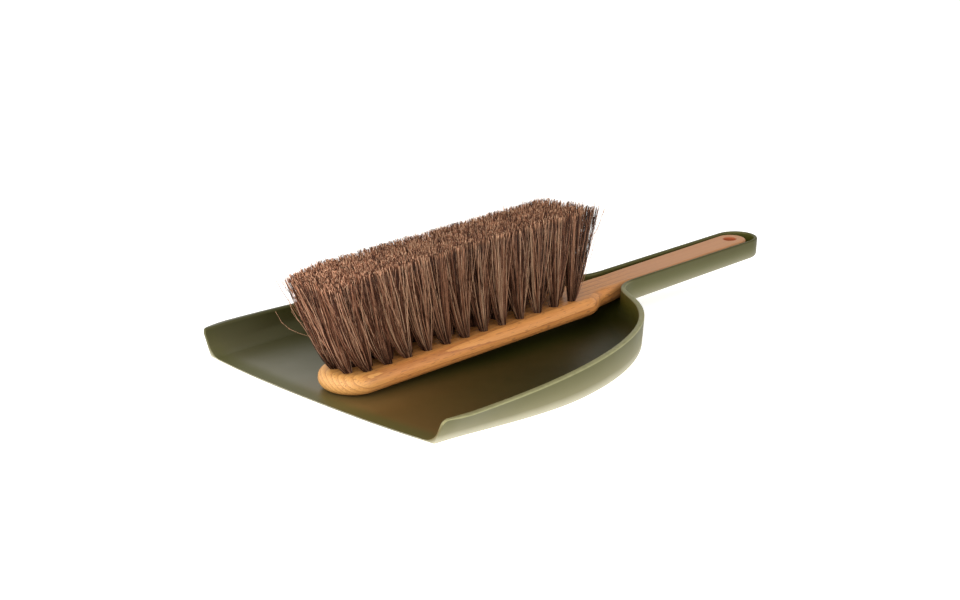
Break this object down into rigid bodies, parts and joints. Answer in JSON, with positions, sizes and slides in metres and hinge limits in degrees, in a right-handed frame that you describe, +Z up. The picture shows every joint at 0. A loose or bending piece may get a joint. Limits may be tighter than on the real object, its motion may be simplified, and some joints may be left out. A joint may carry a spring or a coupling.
{
  "type": "dustpan and brush",
  "caption": "Open-fronted dustpan with a trough handle that holds the handle of a flat-backed wooden hand brush, stored bristles up and lifted straight out.",
  "frame": {"origin": "on the pan's flat underside, on its centreline, 100 mm behind the front lip", "axes": "+Y from the lip to the handle, +Z up, +X to the right seen from the lip looking to the handle"},
  "size_m": [0.2132, 0.3779, 0.0758],
  "materials": {
    "olive_plastic": "satin moulded olive green",
    "beech": "oiled beech",
    "horsehair": "natural brown horsehair"
  },
  "bodies": {
    "pan": {"dustpan": "olive_plastic"},
    "brush": {"brush_block": "beech", "tuft_left_edge_01": "horsehair", "tuft_left_edge_02": "horsehair", "tuft_left_edge_03": "horsehair", "tuft_left_edge_04": "horsehair", "tuft_left_edge_05": "horsehair", "tuft_left_edge_06": "horsehair", "tuft_left_edge_07": "horsehair", "tuft_left_edge_08": "horsehair", "tuft_left_edge_09": "horsehair", "tuft_left_edge_10": "horsehair", "tuft_left_edge_11": "horsehair", "tuft_left_edge_12": "horsehair", "tuft_left_inner_01": "horsehair", "tuft_left_inner_02": "horsehair", "tuft_left_inner_03": "horsehair", "tuft_left_inner_04": "horsehair", "tuft_left_inner_05": "horsehair", "tuft_left_inner_06": "horsehair", "tuft_left_inner_07": "horsehair", "tuft_left_inner_08": "horsehair", "tuft_left_inner_09": "horsehair", "tuft_left_inner_10": "horsehair", "tuft_left_inner_11": "horsehair", "tuft_left_inner_12": "horsehair", "tuft_middle_01": "horsehair", "tuft_middle_02": "horsehair", "tuft_middle_03": "horsehair", "tuft_middle_04": "horsehair", "tuft_middle_05": "horsehair", "tuft_middle_06": "horsehair", "tuft_middle_07": "horsehair", "tuft_middle_08": "horsehair", "tuft_middle_09": "horsehair", "tuft_middle_10": "horsehair", "tuft_right_inner_01": "horsehair", "tuft_right_inner_02": "horsehair", "tuft_right_inner_03": "horsehair", "tuft_right_inner_04": "horsehair", "tuft_right_inner_05": "horsehair", "tuft_right_inner_06": "horsehair", "tuft_right_inner_07": "horsehair", "tuft_right_inner_08": "horsehair", "tuft_right_inner_09": "horsehair", "tuft_right_inner_10": "horsehair", "tuft_right_inner_11": "horsehair", "tuft_right_inner_12": "horsehair", "tuft_right_edge_01": "horsehair", "tuft_right_edge_02": "horsehair", "tuft_right_edge_03": "horsehair", "tuft_right_edge_04": "horsehair", "tuft_right_edge_05": "horsehair", "tuft_right_edge_06": "horsehair", "tuft_right_edge_07": "horsehair", "tuft_right_edge_08": "horsehair", "tuft_right_edge_09": "horsehair", "tuft_right_edge_10": "horsehair", "tuft_right_edge_11": "horsehair", "tuft_right_edge_12": "horsehair"}
  },
  "joints": [
    {"name": "brush_lift", "type": "slide", "parent": "pan", "child": "brush", "axis": [0, 0, 1], "range_m": [0, 0.12]}
  ]
}
